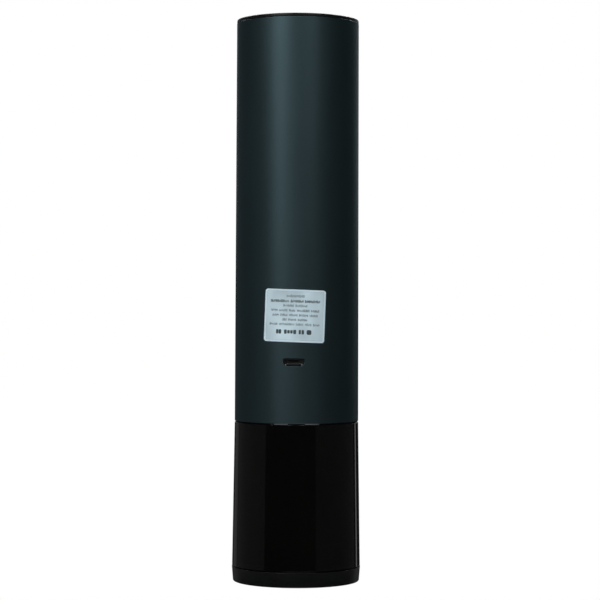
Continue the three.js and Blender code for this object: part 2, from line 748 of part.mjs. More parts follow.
function wheelPlace(side, end) {
  const [x, y] = onCircle(WHEEL.orbit, end * WHEEL.angle);
  return [side * x, y];
}

function cutterJaw(side) {
  const middle = side > 0 ? 0 : 180;
  const plate = sector(JAW.inner, JAW.outer, middle - JAW.reach, middle + JAW.reach, JAW.bottom, JAW.top);
  const pins = [-1, 1].map((end) => {
    const [x, y] = wheelPlace(side, end);
    return post(1, x, y, JAW.bottom + 0.3, CUTTER.coverBottom - GAP);
  });
  return joined(plate, ...pins);
}

function cutterWheel(side, end) {
  const { radius, bottom, top } = WHEEL;
  const [x, y] = wheelPlace(side, end);
  const middle = (bottom + top) / 2;
  const wheel = turned([
    [1.3, bottom], [radius - 1, bottom], [radius, middle], [radius - 1, top], [1.3, top],
  ], 16);
  return wheel.translate([x, y, 0]);
}

// A bowed leaf between a jaw and the cutter's wall.
function cutterSpring(side) {
  const reach = 22;
  const [wallRadius, jawRadius, thick] = [CUTTER.wall - 0.35, JAW.outer + 0.35, 0.3];
  const edge = (offset) => {
    const points = [];
    for (let step = -8; step <= 8; step += 1) {
      const bow = (step / 8) ** 2;
      const radius = jawRadius + (wallRadius - jawRadius - thick) * bow + offset;
      points.push(onCircle(radius, (reach * step) / 8 + (side > 0 ? 0 : 180)));
    }
    return points;
  };
  return upright(outline([...edge(0), ...edge(thick).reverse()]), JAW.bottom, JAW.top);
}

add("cutter_base", cutterBase(), satinBlack);
add("cutter_cover", cutterCover(), satinBlack);
for (const [side, name] of [[-1, "left"], [1, "right"]]) {
  add(`cutter_jaw_${name}`, cutterJaw(side), blackPlastic);
  add(`cutter_spring_${name}`, cutterSpring(side), steel);
  for (const [end, place] of [[-1, "back"], [1, "front"]]) {
    add(`cutter_wheel_${name}_${place}`, cutterWheel(side, end), steel);
  }
}

export default opener;
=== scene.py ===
"""Looks of the electric wine opener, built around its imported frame.

Everything is in metres, +Z up, in the frame of the CAD model: -Y is the back with the label and the
charging port, +Y is the front with the rocker switch and the status light.
"""

import math
import random

import bmesh
import bpy
from mathutils import Matrix, Vector


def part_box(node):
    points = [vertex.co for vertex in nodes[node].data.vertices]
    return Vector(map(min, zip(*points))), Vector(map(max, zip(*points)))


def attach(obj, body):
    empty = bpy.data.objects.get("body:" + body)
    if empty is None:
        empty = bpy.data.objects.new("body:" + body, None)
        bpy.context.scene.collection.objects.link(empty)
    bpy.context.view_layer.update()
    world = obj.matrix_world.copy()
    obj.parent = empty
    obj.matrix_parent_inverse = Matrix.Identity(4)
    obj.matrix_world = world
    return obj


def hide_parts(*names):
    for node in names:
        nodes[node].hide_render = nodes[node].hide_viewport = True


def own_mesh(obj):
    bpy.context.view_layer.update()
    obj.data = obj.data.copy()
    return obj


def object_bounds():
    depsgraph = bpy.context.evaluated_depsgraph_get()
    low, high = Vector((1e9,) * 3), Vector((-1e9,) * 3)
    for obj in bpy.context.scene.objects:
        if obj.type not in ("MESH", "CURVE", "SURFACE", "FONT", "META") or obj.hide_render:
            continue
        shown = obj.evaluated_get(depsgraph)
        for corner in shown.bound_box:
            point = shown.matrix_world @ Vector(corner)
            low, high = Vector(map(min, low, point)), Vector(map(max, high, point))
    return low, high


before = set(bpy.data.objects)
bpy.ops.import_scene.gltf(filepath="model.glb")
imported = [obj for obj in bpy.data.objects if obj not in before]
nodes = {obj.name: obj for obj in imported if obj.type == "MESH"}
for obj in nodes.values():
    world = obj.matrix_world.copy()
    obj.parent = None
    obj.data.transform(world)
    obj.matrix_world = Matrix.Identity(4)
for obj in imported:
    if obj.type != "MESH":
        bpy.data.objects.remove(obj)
cad_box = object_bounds()

MM = 0.001
TAU = 2 * math.pi
GAP = 0.3 * MM                        # between neighbouring pieces
BACK, FRONT = -1, 1                   # sides of the opener along Y
LEAST_FILLET = 0.02 * MM
FINE, MEDIUM, COARSE = 256, 128, 32   # segments of skins, inner rings and small pins
SHARP = 32                            # degrees between faces that meet in a sharp edge


# ---------- measures taken from the frame


def span(node):
    """Lowest and highest Z of a node."""
    low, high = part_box(node)
    return low.z, high.z


def centre_of(node):
    """Middle of the box that holds a node."""
    low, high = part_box(node)
    return (low + high) / 2


def reach(node):
    """Largest X of a node, which is the outer radius of a round one."""
    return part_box(node)[1].x


TUBE_LOW, TUBE_HIGH = span("outer_tube")
TUBE_RADIUS = reach("outer_tube")     # at the tube's foot
TUBE_BORE = 21.8 * MM
TUBE_TAPER = 0.3 * MM                 # how much the radius shrinks from foot to top


def tube_radius(z):
    """Radius of the tube's outer face at a height."""
    rise = (z - TUBE_LOW) / (TUBE_HIGH - TUBE_LOW)
    return TUBE_RADIUS - TUBE_TAPER * rise


# ---------- outlines


def shares(steps):
    """Equal steps from 0 to 1."""
    return [step / steps for step in range(steps + 1)]


def quarter(steps):
    """Cosines and sines at equal steps through a quarter turn."""
    return [(math.cos(share * TAU / 4), math.sin(share * TAU / 4)) for share in shares(steps)]


def corner_ways(corners):
    """Each corner of a closed outline, the ways to its two neighbours, and its fillet radius."""
    places = [Vector(corner[:2]) for corner in corners]
    for index, corner in enumerate(places):
        before, after = places[index - 1], places[(index + 1) % len(places)]
        yield corner, (before - corner).normalized(), (after - corner).normalized(), corners[index][2]


def rounded(corners, steps=4):
    """Points of a closed outline from (x, y, fillet radius) corners."""
    points = []
    for corner, before, after, radius in corner_ways(corners):
        if radius == 0:
            points.append(tuple(corner))
            continue
        half = before.angle(after) / 2
        centre = corner + (before + after).normalized() * radius / math.sin(half)
        start = corner + before * radius / math.tan(half) - centre
        end = corner + after * radius / math.tan(half) - centre
        for share in shares(steps):
            points.append(tuple(centre + start.slerp(end, share).normalized() * radius))
    return points


def bar(left, right, bottom, top, fillets, steps=4):
    """A rectangle. Its fillets run counter-clockwise from the lower left corner."""
    corners = ((left, bottom), (right, bottom), (right, top), (left, top))
    return rounded([(*corner, fillet) for corner, fillet in zip(corners, fillets)], steps)


def offset_outline(corners, offset):
    """Moves the sides of a convex counter-clockwise outline outwards. Fillet radii grow with them."""
    moved = []
    for corner, before, after, radius in corner_ways(corners):
        normals = Vector((-before.y, before.x)), Vector((after.y, -after.x))
        diagonal = (normals[0] + normals[1]).normalized()
        x, y = corner + diagonal * offset / diagonal.dot(normals[0])
        moved.append((x, y, max(radius + offset, LEAST_FILLET)))
    return moved


def slot_outline(half_width, half_height, corner, inset=0.0, corner_steps=10, side_steps=1):
    """A rectangle with round corners about the origin, counter-clockwise, moved in by an inset."""
    half_width, half_height = half_width - inset, half_height - inset
    corner = max(corner - inset, 0.0)
    arcs = []
    for turn, (side_x, side_y) in enumerate(((1, 1), (-1, 1), (-1, -1), (1, -1))):
        x, y = side_x * (half_width - corner), side_y * (half_height - corner)
        angles = [(turn + share) * TAU / 4 for share in shares(corner_steps)]
        arcs.append([Vector((x + corner * math.cos(a), y + corner * math.sin(a))) for a in angles])
    whole = []
    for arc, following in zip(arcs, arcs[1:] + arcs[:1]):
        whole += arc
        whole += [arc[-1].lerp(following[0], share) for share in shares(side_steps)[1:-1]]
    return whole


# ---------- mesh building


def loft(build, outlines, closed=False):
    """Skins outlines of equal length with quads, and caps the two ends unless the row closes up."""
    rings = [[build.verts.new(point) for point in outline] for outline in outlines]
    following = rings[1:] + rings[:1] if closed else rings[1:]
    for ring, other in zip(rings, following):
        for index in range(len(ring)):
            after = (index + 1) % len(ring)
            build.faces.new((ring[index], other[index], other[after], ring[after]))
    if not closed:
        build.faces.new(rings[0])
        build.faces.new(rings[-1])


def revolve(build, profile, segments, start=0.0, sweep=TAU, place=Matrix()):
    """Turns a closed (radius, z) outline about Z, all the way round or through a part of a turn."""
    whole = sweep == TAU
    outlines = []
    for index in range(segments if whole else segments + 1):
        angle = start + sweep * index / segments
        x, y = math.cos(angle), math.sin(angle)
        outlines.append([place @ Vector((radius * x, radius * y, z)) for radius, z in profile])
    loft(build, outlines, closed=whole)


def add_object(name, data):
    """Puts a new object in the scene."""
    made = bpy.data.objects.new(name, data)
    bpy.context.scene.collection.objects.link(made)
    return made


def solid(name, build):
    """Welds a mesh that was built, turns its faces outwards and makes an object of it."""
    bmesh.ops.remove_doubles(build, verts=build.verts, dist=1e-7)
    bmesh.ops.dissolve_degenerate(build, edges=build.edges, dist=1e-8)
    bmesh.ops.recalc_face_normals(build, faces=build.faces)
    mesh = bpy.data.meshes.new(name)
    build.to_mesh(mesh)
    build.free()
    return add_object(name, mesh)


def piece(name, build, slot, replaced=(), body="casing", sharp=SHARP, finish=None):
    """Makes a piece of the opener: smooth up to an edge angle, riding on a body, in a slot's finish."""
    made = solid(name, build)
    shade(made.data, sharp)
    made.data.materials.append(finish or FINISHES[slot])
    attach(made, body)
    if replaced:
        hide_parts(*replaced)
    return made


def turned(name, profile, segments, slot, replaced, body="casing", place=Matrix()):
    """Makes a piece that is one outline turned all the way round."""
    build = bmesh.new()
    revolve(build, profile, segments, place=place)
    return piece(name, build, slot, replaced, body)


def shade(mesh, sharp):
    """Smooth faces, with sharp edges above an angle in degrees."""
    mesh.polygons.foreach_set("use_smooth", [True] * len(mesh.polygons))
    mesh.set_sharp_from_angle(angle=math.radians(sharp))
    mesh.update()


def carve(body, tools):
    """Cuts the tools out of a piece and removes them."""
    for cutter in tools:
        modifier = body.modifiers.new("cut", "BOOLEAN")
        modifier.operation = "DIFFERENCE"
        modifier.solver = "EXACT"
        modifier.object = cutter
    graph = bpy.context.evaluated_depsgraph_get()
    mesh = bpy.data.meshes.new_from_object(body.evaluated_get(graph))
    body.modifiers.clear()
    body.data = mesh
    for cutter in tools:
        bpy.data.objects.remove(cutter)
    shade(mesh, SHARP)


def round_normals(body, radius_at):
    """Gives the points on a turned skin the true normals of that skin, so that cuts leave no trace."""
    mesh, tolerance = body.data, 0.01 * MM
    normals = [Vector(corner.vector) for corner in mesh.corner_normals]
    for face in mesh.polygons:
        for loop in face.loop_indices:
            point = mesh.vertices[mesh.loops[loop].vertex_index].co
            radius = math.hypot(point.x, point.y)
            outward = Vector((point.x, point.y, 0.0)).normalized()
            if abs(radius - radius_at(point.z)) < tolerance and face.normal.dot(outward) > 0.97:
                normals[loop] = outward
    mesh.normals_split_custom_set(normals)


def on_skin(x, z, lift, side):
    """The point at x and z, seen along Y, that stands a lift proud of the tube's outer face."""
    radius = tube_radius(z) + lift
    return Vector((x, side * math.sqrt(radius * radius - x * x), z))


def mouth(outline_at, height, side, edge):
    """A cutter whose outline flares where it leaves the tube, which rounds the edge of the hole.

    outline_at gives the outline, about the hole's centre, grown by an offset."""
    surface, depth = tube_radius(height), 3 * MM

    def flat(offset, y):
        return [(x, y, height + z) for x, z in outline_at(offset)]

    outlines = [flat(0.0, side * (surface - depth))]
    for cos, sin in quarter(5):
        outline = outline_at(edge * (1 - cos))
        outlines.append([on_skin(x, height + z, edge * (sin - 1), side) for x, z in outline])
    outlines.append(flat(edge * 1.05, side * (surface + depth)))
    build = bmesh.new()
    loft(build, outlines)
    return solid("tool", build)


# ---------- materials


def add_node(tree, kind, inputs, output=0, **attributes):
    """Adds a node and gives one of its outputs. Each input is fed by an output or set to a value."""
    node = tree.nodes.new(kind)
    for name, value in attributes.items():
        setattr(node, name, value)
    for socket, source in inputs.items():
        if isinstance(source, bpy.types.NodeSocket):
            tree.links.new(source, node.inputs[socket])
        else:
            node.inputs[socket].default_value = source
    return node.outputs[output]


class Shader:
    """A principled material whose colour, roughness and relief are grown from noise."""

    def __init__(self, name, color, roughness, metallic=0.0, **sockets):
        self.material = bpy.data.materials.new(name)
        self.material.use_nodes = True
        self.tree = self.material.node_tree
        self.surface = self.tree.nodes["Principled BSDF"]
        looks = {"Base Color": (*color, 1.0), "Roughness": roughness, "Metallic": metallic}
        for socket, value in {**looks, **sockets}.items():
            self.surface.inputs[socket.replace("_", " ")].default_value = value
        self.color = color
        self.place = add_node(self.tree, "ShaderNodeTexCoord", {}, "Object")

    def drive(self, socket, source):
        """Feeds a socket of the principled shader."""
        self.tree.links.new(source, self.surface.inputs[socket])

    def noise(self, size, stretch=(1, 1, 1), detail=3.0, distortion=0.0):
        """Noise whose features have about that size in metres, drawn out along the stretched axes."""
        scale = tuple(1 / part for part in stretch)
        place = add_node(self.tree, "ShaderNodeMapping", {"Vector": self.place, "Scale": scale})
        look = {"Vector": place, "Scale": 1 / size, "Detail": detail, "Distortion": distortion}
        return add_node(self.tree, "ShaderNodeTexNoise", look, "Fac")

    def cells(self, size, feature="F1"):
        """Cells of about that size in metres: the distance from each cell's centre or edge."""
        look = {"Vector": self.place, "Scale": 1 / size}
        return add_node(self.tree, "ShaderNodeTexVoronoi", look, "Distance", feature=feature)

    def ranged(self, value, low, high, start=0.3, end=0.7):
        """Carries a value from the range between start and end over to that between low and high."""
        ends = {"From Min": start, "From Max": end, "To Min": low, "To Max": high}
        return add_node(self.tree, "ShaderNodeMapRange", {"Value": value, **ends})

    def number(self, operation, *values):
        """Works out a number from one or two others."""
        return add_node(self.tree, "ShaderNodeMath", dict(enumerate(values)), operation=operation)

    def mottle(self, value, darker, lighter):
        """Varies the base colour between two shares of itself."""
        ramp = self.tree.nodes.new("ShaderNodeValToRGB")
        for stop, share in zip(ramp.color_ramp.elements, (darker, lighter)):
            stop.color = (*[min(part * share, 1.0) for part in self.color], 1.0)
        self.tree.links.new(self.ranged(value, 0.0, 1.0), ramp.inputs["Fac"])
        self.drive("Base Color", ramp.outputs["Color"])

    def polish(self, value, low, high):
        """Varies the roughness between two values."""
        self.drive("Roughness", self.ranged(value, low, high))

    def emboss(self, value, height, strength):
        """Adds relief of that height in metres."""
        look = {"Strength": strength, "Distance": height, "Height": value}
        self.drive("Normal", add_node(self.tree, "ShaderNodeBump", look))


def satin_metal(name, color, roughness):
    """Bead-blasted and anodised aluminium: a fine even grain under a faint mottle."""
    shader = Shader(name, color, roughness, metallic=1.0, Specular_Tint=(0.7, 0.74, 0.76, 1.0))
    grain = shader.noise(0.22 * MM, detail=2.0)
    cloud = shader.noise(14 * MM, stretch=(1, 1, 3))
    shader.mottle(cloud, 0.94, 1.06)
    shader.polish(grain, roughness - 0.04, roughness + 0.05)
    shader.emboss(grain, 0.006 * MM, 0.6)
    return shader.material


def drawn_metal(name, color, roughness, stretch, grain=0.12 * MM, depth=0.004 * MM):
    """Turned or drawn metal: fine marks along one direction."""
    shader = Shader(name, color, roughness, metallic=1.0, Anisotropic=0.3)
    marks = shader.noise(grain, stretch=stretch, detail=4.0)
    stain = shader.noise(6 * MM)
    shader.mottle(stain, 0.88, 1.08)
    shader.polish(marks, roughness - 0.06, roughness + 0.1)
    shader.emboss(marks, depth, 0.5)
    return shader.material


def moulded(name, color, roughness, grain=0.35 * MM, depth=0.01 * MM, **sockets):
    """Moulded plastic with the fine eroded texture of its tool and a slow change of gloss."""
    shader = Shader(name, color, roughness, **sockets)
    texture = shader.noise(grain, detail=2.0, distortion=0.6)
    flow = shader.noise(9 * MM, stretch=(1, 1, 2))
    shader.mottle(flow, 0.88, 1.12)
    shader.polish(texture, roughness - 0.05, roughness + 0.06)
    shader.emboss(texture, depth, 0.5)
    return shader.material


def smoked_plastic(name):
    """Polished smoked acrylic: nearly black, with the least ripple and a few wipe marks."""
    shader = Shader(name, (0.0018, 0.0016, 0.0015), 0.05, IOR=1.49)
    ripple = shader.noise(9 * MM, stretch=(1, 1, 3), detail=1.0)
    wiped = shader.noise(1.6 * MM, stretch=(4, 4, 1), detail=5.0, distortion=1.0)
    shader.mottle(ripple, 0.8, 1.2)
    shader.polish(wiped, 0.035, 0.085)
    shader.emboss(ripple, 0.012 * MM, 0.35)
    return shader.material


LABEL_WIDE, LABEL_TALL, LABEL_CORNER = 11.2 * MM, 9.75 * MM, 1 * MM
LABEL_TILT = math.radians(-2)
LABEL_X, _, LABEL_Z = centre_of("back_label")


def silver_film(name):
    """Matt silver label stock: fine brushing, soft streaks of light painted into its colour as a
    highlight, and a paler margin.
    """
    shader = Shader(name, (0.60, 0.755, 0.83), 0.42, metallic=0.05, Specular_IOR_Level=0.5)
    lines = shader.noise(0.18 * MM, stretch=(30, 30, 1), detail=2.0)
    # Painted highlight: large soft streaks that lighten the film's colour as light falling across it
    # would.
    painted_sheen = shader.noise(6 * MM, stretch=(1, 1, 2.5), detail=1.0)
    frame_of_label = {
        "Vector": shader.place,
        "Location": (LABEL_X, 0, LABEL_Z),
        "Rotation": (0, -LABEL_TILT, 0),
        "Scale": (LABEL_WIDE, 1, LABEL_TALL),
    }
    place = add_node(shader.tree, "ShaderNodeMapping", frame_of_label, vector_type="TEXTURE")
    sides = []
    for axis in ("X", "Z"):
        along = add_node(shader.tree, "ShaderNodeSeparateXYZ", {"Vector": place}, axis)
        sides.append(shader.number("ABSOLUTE", along))
    margin = shader.ranged(shader.number("MAXIMUM", *sides), 0.0, 0.3, 0.92, 0.95)
    # The painted streaks of light and the paler margin both vary the base colour.
    shader.mottle(shader.number("ADD", painted_sheen, margin), 0.84, 1.14)
    shader.polish(lines, 0.36, 0.5)
    shader.emboss(lines, 0.004 * MM, 0.4)
    return shader.material


def printed_ink(name, color):
    """Matt ink with a fine unevenness."""
    shader = Shader(name, color, 0.5)
    speck = shader.noise(0.25 * MM, detail=3.0)
    shader.mottle(speck, 0.6, 1.5)
    shader.emboss(speck, 0.003 * MM, 0.4)
    return shader.material


def board_resin(name):
    """Green solder mask over copper tracks, which show as a slightly raised lighter pattern."""
    shader = Shader(name, (0.012, 0.11, 0.045), 0.35, Coat_Weight=0.4)
    tracks = shader.ranged(shader.cells(3.2 * MM, "DISTANCE_TO_EDGE"), 1.0, 0.0, 0.03, 0.06)
    weave = shader.noise(0.5 * MM)
    shader.mottle(tracks, 0.75, 1.7)
    shader.polish(weave, 0.28, 0.42)
    shader.emboss(tracks, 0.03 * MM, 0.5)
    return shader.material


def sintered(name, color):
    """Pressed ferrite: dull, dark and grainy."""
    shader = Shader(name, color, 0.75)
    grain = shader.cells(0.4 * MM)
    shader.mottle(grain, 0.7, 1.35)
    shader.polish(grain, 0.65, 0.85)
    shader.emboss(grain, 0.02 * MM, 0.6)
    return shader.material


def light_pipe(name):
    """Milky polycarbonate that passes light."""
    shader = Shader(name, (0.82, 0.86, 0.88), 0.22, Transmission_Weight=0.45, IOR=1.58)
    haze = shader.noise(0.4 * MM)
    shader.mottle(haze, 0.93, 1.05)
    shader.polish(haze, 0.16, 0.3)
    return shader.material


def cell_wrap(name):
    """Shrink-wrapped film with the small puckers that it gets round the cell's ends."""
    shader = Shader(name, (0.03, 0.17, 0.38), 0.3, Coat_Weight=0.5)
    pucker = shader.noise(1.8 * MM, stretch=(1, 1, 6), detail=2.0)
    shader.mottle(shader.noise(8 * MM), 0.9, 1.12)
    shader.polish(pucker, 0.24, 0.38)
    shader.emboss(pucker, 0.04 * MM, 0.35)
    return shader.material


FINISHES = {
    "gunmetal_tube": satin_metal("satin_gunmetal", (0.093, 0.149, 0.167), 0.40),
    "smoked_clear": smoked_plastic("smoked_acrylic"),
    "satin_black": moulded("satin_black_plastic", (0.0037, 0.0042, 0.0043), 0.32, 0.3 * MM, 0.004 * MM),
    "black_plastic": moulded("moulded_black_plastic", (0.011, 0.0115, 0.0125), 0.55),
    "grey_plastic": moulded("moulded_grey_plastic", (0.088, 0.096, 0.105), 0.5),
    "label_film": silver_film("silver_label_film"),
    "nickel": drawn_metal("nickel_plate", (0.62, 0.61, 0.58), 0.28, (1, 20, 1)),
    "steel": drawn_metal("turned_steel", (0.50, 0.50, 0.51), 0.30, (12, 12, 1)),
    # Dark steel; on the port's shell this dark finish is also painted shade for the plate inside the port.
    "dark_steel": drawn_metal("dark_steel_and_painted_shade", (0.13, 0.135, 0.14), 0.42, (1, 1, 4)),
    "worm_steel": drawn_metal("polished_worm_steel", (0.60, 0.60, 0.61), 0.16, (6, 6, 1)),
    "wheel_steel": drawn_metal("ground_wheel_steel", (0.58, 0.58, 0.58), 0.24, (8, 8, 1)),
    "bronze": drawn_metal("sintered_bronze", (0.43, 0.24, 0.09), 0.4, (4, 4, 1), 0.2 * MM, 0.01 * MM),
    "ferrite": sintered("pressed_ferrite", (0.022, 0.022, 0.026)),
    "circuit_board": board_resin("green_circuit_board"),
    "light_pipe": light_pipe("milky_light_pipe"),
    "cell_wrap": cell_wrap("blue_cell_wrap"),
    "nylon": moulded("natural_nylon", (0.66, 0.61, 0.50), 0.45, 0.5 * MM, 0.008 * MM,
                     Subsurface_Weight=0.15, Subsurface_Radius=(0.002, 0.0016, 0.001)),
}
INK = printed_ink("label_ink", (0.05, 0.075, 0.08))
HAIRLINE = printed_ink("label_hairline", (0.36, 0.44, 0.47))


# ---------- tube and top


PORT_LOW, PORT_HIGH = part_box("usb_shell")
PORT_X, _, PORT_Z = centre_of("usb_shell")
PORT_MARGIN = 0.25 * MM               # between the port's shell and the edge of its opening
PORT_WIDE = (PORT_HIGH.x - PORT_LOW.x) / 2 + PORT_MARGIN
PORT_TALL = (PORT_HIGH.z - PORT_LOW.z) / 2 + PORT_MARGIN
PORT_SLANT = 0.9 * MM                 # how far the lower corners are cut off
PORT_SILL = 0.36 * MM                 # the dark gap under the port's shell
PORT_WALL = 0.3 * MM


def port_corners(sill):
    """Corners of the port's opening: wide above, with slanting lower corners. Z is about its middle.

    The sill is how far the lower edge is raised."""
    narrow, foot, fillet = PORT_WIDE - PORT_SLANT, sill - PORT_TALL, 0.35 * MM
    corners = [(-narrow, foot), (narrow, foot), (PORT_WIDE, 0), (PORT_WIDE, PORT_TALL),
               (-PORT_WIDE, PORT_TALL), (-PORT_WIDE, 0)]
    return [(PORT_X + x, z, fillet) for x, z in corners]


def port_outline(offset, sill=0.0):
    """The outline of the port's opening, grown by an offset."""
    return rounded(offset_outline(port_corners(sill), offset), 5)


ROCKER_LOW, ROCKER_HIGH = span("rocker_button")
ROCKER_Z = centre_of("rocker_button").z
ROCKER_WIDE, ROCKER_TALL = reach("rocker_button"), (ROCKER_HIGH - ROCKER_LOW) / 2
ROCKER_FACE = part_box("rocker_button")[1].y
ROCKER_CLEARANCE = 0.35 * MM
LIGHT_Z = centre_of("status_light").z


def tube_skin():
    """The metal tube with its openings for the port, the rocker and the light."""
    profile = rounded([
        (TUBE_BORE, TUBE_LOW, 0.15 * MM),
        (tube_radius(TUBE_LOW), TUBE_LOW, 0.2 * MM),
        (tube_radius(TUBE_HIGH), TUBE_HIGH, 0.2 * MM),
        (TUBE_BORE, TUBE_HIGH, 0.3 * MM),
    ], 6)
    skin = turned("tube_skin", profile, FINE, "gunmetal_tube", ["outer_tube"])
    wide, tall = ROCKER_WIDE + ROCKER_CLEARANCE, ROCKER_TALL + ROCKER_CLEARANCE
    hole = reach("status_light") + GAP
    carve(skin, [
        mouth(port_outline, PORT_Z, BACK, 0.1 * MM),
        mouth(lambda offset: slot_outline(wide, tall, wide, -offset, 12, 8), ROCKER_Z, FRONT, 0.3 * MM),
        mouth(lambda offset: slot_outline(hole, hole, hole, -offset), LIGHT_Z, FRONT, 0.2 * MM),
    ])
    round_normals(skin, tube_radius)


def top_disc():
    """The lid: a rounded rim, a shallow dish in its top and a skirt inside the tube."""
    low, high = span("top_cap")
    rim, plug = reach("top_cap"), TUBE_BORE - GAP
    flange, skirt, plate, dish = 1.24 * MM, 1.4 * MM, 2 * MM, 0.3 * MM
    border, slope = 3.6 * MM, 0.8 * MM
    profile = rounded([
        (0, high - dish, 0),
        (rim - border - slope, high - dish, 1.2 * MM),
        (rim - border, high, 0.8 * MM),
        (rim, high, 0.4 * MM),
        (rim, high - flange, 0.15 * MM),
        (plug, high - flange, 0),
        (plug, low, 0.2 * MM),
        (plug - skirt, low, 0.2 * MM),
        (plug - skirt, high - plate, 0.4 * MM),
        (0, high - plate, 0),
    ], 7)
    turned("top_disc", profile, FINE, "satin_black", ["top_cap"])


# ---------- rating label


LABEL_THICK = 0.12 * MM


def on_label(u, v, lift):
    """The point at u across and v up from the label's middle, on the back of the tube."""
    x = LABEL_X + u * math.cos(LABEL_TILT) - v * math.sin(LABEL_TILT)
    z = LABEL_Z + u * math.sin(LABEL_TILT) + v * math.cos(LABEL_TILT)
    return on_skin(x, z, lift, BACK)


def label_columns(half_width, half_height, corner, columns):
    """(u, half height) pairs from left to right across a rectangle with round corners."""
    straight = half_width - corner
    arc = [(straight + corner * cos, half_height - corner * (1 - sin)) for cos, sin in quarter(6)]
    middle = [(straight * (2 * step / columns - 1), half_height) for step in range(1, columns)]
    return [(-u, v) for u, v in arc] + middle + list(reversed(arc))


def film(build, centre, size, low, high, columns, rows):
    """A thin sheet that follows the tube between two lifts. size is (half width, half height, corner)."""
    outlines = []
    for u, half in label_columns(*size, columns):
        heights = [half * (2 * share - 1) for share in shares(rows)]
        outline = [on_label(centre[0] + u, centre[1] + v, high) for v in heights]
        outline += [on_label(centre[0] + u, centre[1] + v, low) for v in reversed(heights)]
        outlines.append(outline)
    loft(build, outlines)


def label_sheet():
    """The label's own film, lifted a hair off the tube."""
    build = bmesh.new()
    film(build, (0, 0), (LABEL_WIDE, LABEL_TALL, LABEL_CORNER), 0.02 * MM, LABEL_THICK, 48, 12)
    piece("label_sheet", build, "label_film", ["back_label"])


# Rows of the print: height and width as shares of the label's, line height, words, share of ink.
PRINT_ROWS = [
    (0.125, 0.30, 1.10 * MM, 1, 0.46),
    (0.222, 0.82, 1.12 * MM, 3, 0.74),
    (0.308, 0.40, 0.98 * MM, 2, 0.50),
    (0.398, 0.80, 1.00 * MM, 5, 0.54),
    (0.488, 0.75, 1.00 * MM, 5, 0.54),
    (0.574, 0.41, 0.96 * MM, 3, 0.56),
    (0.662, 0.83, 1.00 * MM, 5, 0.50),
]
STROKE_PITCH = 0.3 * MM
WORD_SPACE = 0.55 * MM

# The row of symbols, as plain blocks: place, half width and half height in millimetres.
MARK_ROW = 0.806
MARKS = [
    (-6.35, 0.42, 0.80), (-5.35, 0.50, 0.80),
    (-3.30, 0.50, 0.78), (-2.15, 0.45, 0.62), (-1.05, 0.45, 0.62), (0.15, 0.55, 0.78),
    (2.05, 0.40, 0.80), (3.15, 0.45, 0.80),
    (5.45, 0.88, 0.88),
]


def word_widths(total, words, rng):
    """Splits a row into words of uneven length."""
    parts = [rng.uniform(0.6, 1.5) for _ in range(words)]
    room = total - WORD_SPACE * (words - 1)
    return [room * part / sum(parts) for part in parts]


def label_print():
    """Generic stand-ins for the print: each word is a row of plain upright dashes."""
    rng = random.Random(7)
    build = bmesh.new()
    low, high = LABEL_THICK, LABEL_THICK + 0.012 * MM
    for share, width_share, height, words, ink in PRINT_ROWS:
        v = LABEL_TALL * (1 - 2 * share)
        total = 2 * LABEL_WIDE * width_share
        left = -total / 2
        for word in word_widths(total, words, rng):
            strokes = max(round(word / STROKE_PITCH), 1)
            for index in range(strokes):
                u = left + word * (index + 0.5) / strokes
                half_width = STROKE_PITCH * ink * rng.uniform(0.38, 0.6)
                half_height = height * rng.uniform(0.26, 0.5)
                shift = (height / 2 - half_height) * rng.uniform(-1, 0.4)
                size = (half_width, half_height, 0.3 * half_width)
                film(build, (u, v + shift), size, low, high, 1, 1)
            left += word + WORD_SPACE
    v = LABEL_TALL * (1 - 2 * MARK_ROW)
    for u, half_width, half_height in MARKS:
        corner = 0.6 * min(half_width, half_height)
        film(build, (u * MM, v), (half_width * MM, half_height * MM, corner * MM), low, high, 4, 1)
    piece("label_print", build, "label_film", finish=INK)


def label_border():
    """The hairline that runs round the label a little inside its edge."""
    build = bmesh.new()
    low, high = LABEL_THICK, LABEL_THICK + 0.01 * MM
    inset, half_line = 0.75 * MM, 0.035 * MM
    across, up = LABEL_WIDE - inset, LABEL_TALL - inset
    for way in (-1, 1):
        film(build, (0, way * up), (across, half_line, 0.3 * half_line), low, high, 32, 1)
        film(build, (way * across, 0), (half_line, up, 0.3 * half_line), low, high, 1, 8)
    piece("label_border", build, "label_film", finish=HAIRLINE)


# ---------- charging port


def stack(build, sections):
    """Skins outlines in planes across Y. Each section is a Y, the middle's X and Z, and an outline."""
    loft(build, [[Vector((x + u, y, z + v)) for u, v in outline] for y, (x, z), outline in sections])


def port_shell():
    """The receptacle's folded metal shell: a closed back and a rolled lip round its mouth."""
    floor, lead, lip = 0.4 * MM, 1.2 * MM, 0.08 * MM
    outer, mouth_y, end = -PORT_MARGIN, PORT_LOW.y, PORT_HIGH.y
    inner = outer - PORT_WALL
    stations = [
        (inner, end - floor), (inner, mouth_y + lead),
        (inner, mouth_y + lip), (inner + lip * 0.3, mouth_y + lip * 0.3), (inner + lip, mouth_y),
        (outer - lip, mouth_y), (outer - lip * 0.3, mouth_y + lip * 0.3), (outer, mouth_y + lip),
        (outer, end - lip), (outer - lip, end),
    ]
    build = bmesh.new()
    stack(build, [(y, (0, PORT_Z), port_outline(offset, PORT_SILL)) for offset, y in stations])
    # Painted shade: the shell is given dark steel so that the inside of the port stays black, where the
    # plate would be in shadow.
    piece("port_shell", build, "dark_steel", ["usb_shell"])


def port_liner():
    """The thin black bezel that lines the opening between the casing and the receptacle."""
    clear, wall, recess = 0.01 * MM, 0.09 * MM, 0.12 * MM
    root = PORT_LOW.y - 0.02 * MM

    def inside(offset):
        return [(x, root, PORT_Z + z) for x, z in port_outline(offset)]

    def at_skin(offset):
        return [on_skin(x, PORT_Z + z, -recess, BACK) for x, z in port_outline(offset)]

    outer, inner = -clear, -clear - wall
    build = bmesh.new()
    loft(build, [inside(outer), at_skin(outer), at_skin(inner), inside(inner)], closed=True)
    piece("port_liner", build, "satin_black")


TONGUE_LOW, TONGUE_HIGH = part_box("usb_tongue")


